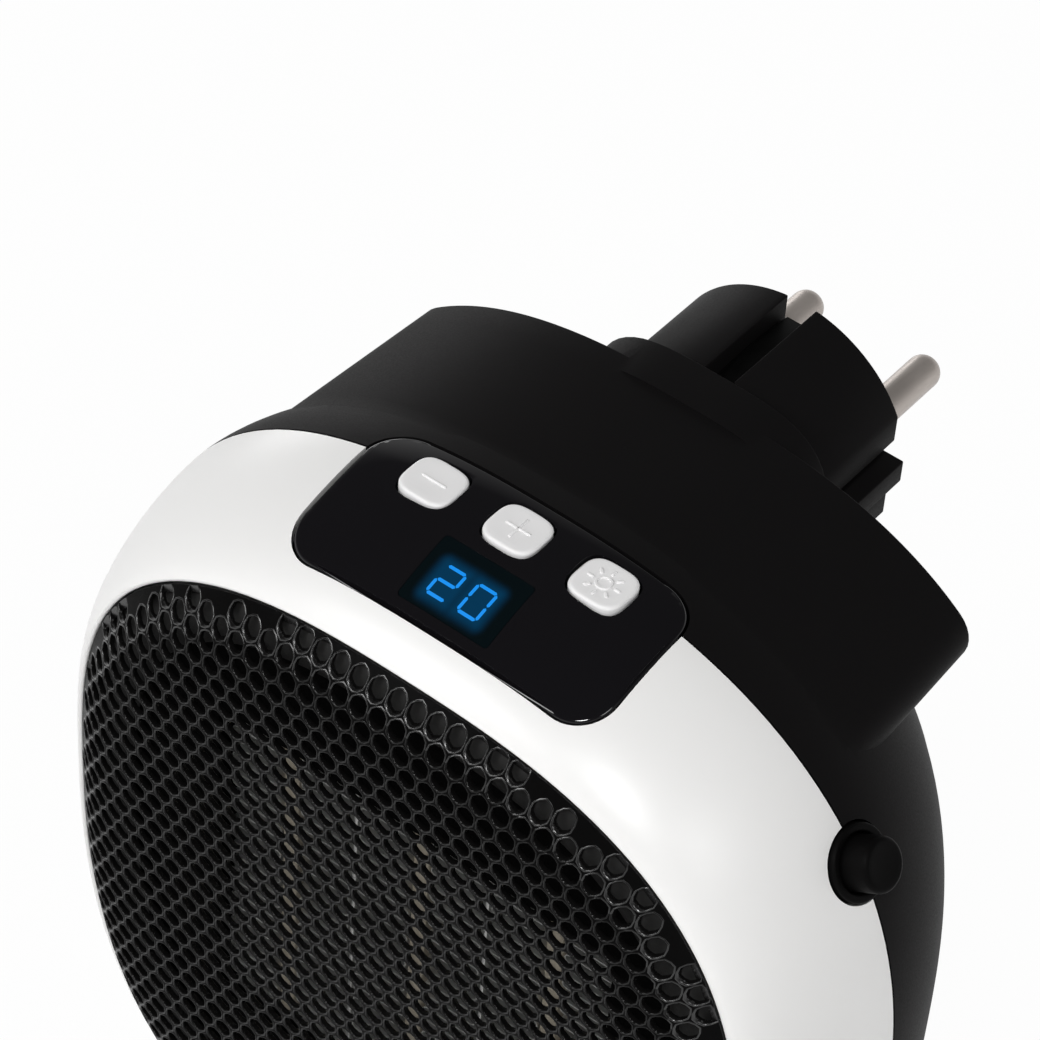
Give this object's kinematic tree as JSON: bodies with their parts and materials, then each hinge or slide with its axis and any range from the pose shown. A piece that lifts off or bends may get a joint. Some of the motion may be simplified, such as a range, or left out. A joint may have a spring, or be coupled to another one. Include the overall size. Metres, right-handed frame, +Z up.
{
  "type": "plug-in fan heater",
  "caption": "Compact plug-in fan heater: rounded-square shell, raised honeycomb grille, top control panel, side power button and swivelling wall plug.",
  "frame": {"origin": "middle of the plug's end face, the face that meets the wall socket", "axes": "+Y along the pins into the wall, +Z up, -Y out of the front grille, +X to the right as seen by someone facing the grille"},
  "size_m": [0.1222, 0.1035, 0.136],
  "materials": {
    "white_shell": "satin gloss white",
    "black_shell": "matte black",
    "black_grille": "satin gloss black",
    "gloss_panel": "gloss black",
    "button_white": "satin white",
    "nickel": "nickel plate",
    "spring_steel": "spring steel",
    "aluminium_fin": "bare",
    "ceramic": "beige ceramic",
    "board_green": "solder resist",
    "steel": "plain",
    "relay_blue": "matte"
  },
  "bodies": {
    "plug": {"plug_body": "black_shell", "plug_pin_left": "nickel", "plug_pin_right": "nickel", "earth_contact_top": "spring_steel", "earth_contact_bottom": "spring_steel", "swivel_retainer": "steel"},
    "heater": {"front_bezel": "white_shell", "rear_housing": "black_shell", "inlet_grille": "black_shell", "core_frame": "black_shell", "air_duct": "black_shell", "motor_bracket": "black_shell", "power_socket": "black_shell", "power_switch": "black_shell", "switch_minus": "black_shell", "switch_plus": "black_shell", "switch_mode": "black_shell", "display_module": "black_shell", "temperature_sensor": "black_shell", "front_grille": "black_grille", "control_panel": "gloss_panel", "display_window": "gloss_panel", "fin_pack_1": "aluminium_fin", "fin_pack_2": "aluminium_fin", "fin_pack_3": "aluminium_fin", "fin_pack_4": "aluminium_fin", "fin_pack_5": "aluminium_fin", "fin_pack_6": "aluminium_fin", "divider_plate_1": "aluminium_fin", "divider_plate_2": "aluminium_fin", "ptc_strip_1": "ceramic", "ptc_strip_2": "ceramic", "ptc_strip_3": "ceramic", "control_board": "board_green", "power_board": "board_green", "fan_motor": "steel", "thermal_cutout": "steel", "housing_screw_1": "steel", "housing_screw_2": "steel", "housing_screw_3": "steel", "housing_screw_4": "steel", "power_relay": "relay_blue"},
    "fan": {"fan_impeller": "black_shell", "motor_shaft": "steel"},
    "key_minus": {"button_minus": "button_white"},
    "key_plus": {"button_plus": "button_white"},
    "key_mode": {"button_mode": "button_white"},
    "key_power": {"power_button": "black_shell"}
  },
  "joints": [
    {"name": "plug_swivel", "type": "hinge", "parent": "plug", "child": "heater", "pos_m": [0, 0, 0], "axis": [0, 1, 0], "range_deg": [-90, 90]},
    {"name": "fan_spin", "type": "hinge", "parent": "heater", "child": "fan", "pos_m": [0, -0.052, -0.046], "axis": [0, 1, 0], "continuous": true},
    {"name": "press_minus", "type": "slide", "parent": "heater", "child": "key_minus", "axis": [0, 0, -1], "range_m": [0, 0.0003], "stiffness_N_per_m": 300},
    {"name": "press_plus", "type": "slide", "parent": "heater", "child": "key_plus", "axis": [0, 0, -1], "range_m": [0, 0.0003], "stiffness_N_per_m": 300},
    {"name": "press_mode", "type": "slide", "parent": "heater", "child": "key_mode", "axis": [0, 0, -1], "range_m": [0, 0.0003], "stiffness_N_per_m": 300},
    {"name": "press_power", "type": "slide", "parent": "heater", "child": "key_power", "axis": [-0.8376, 0, -0.5463], "range_m": [0, 0.0015], "stiffness_N_per_m": 300}
  ]
}
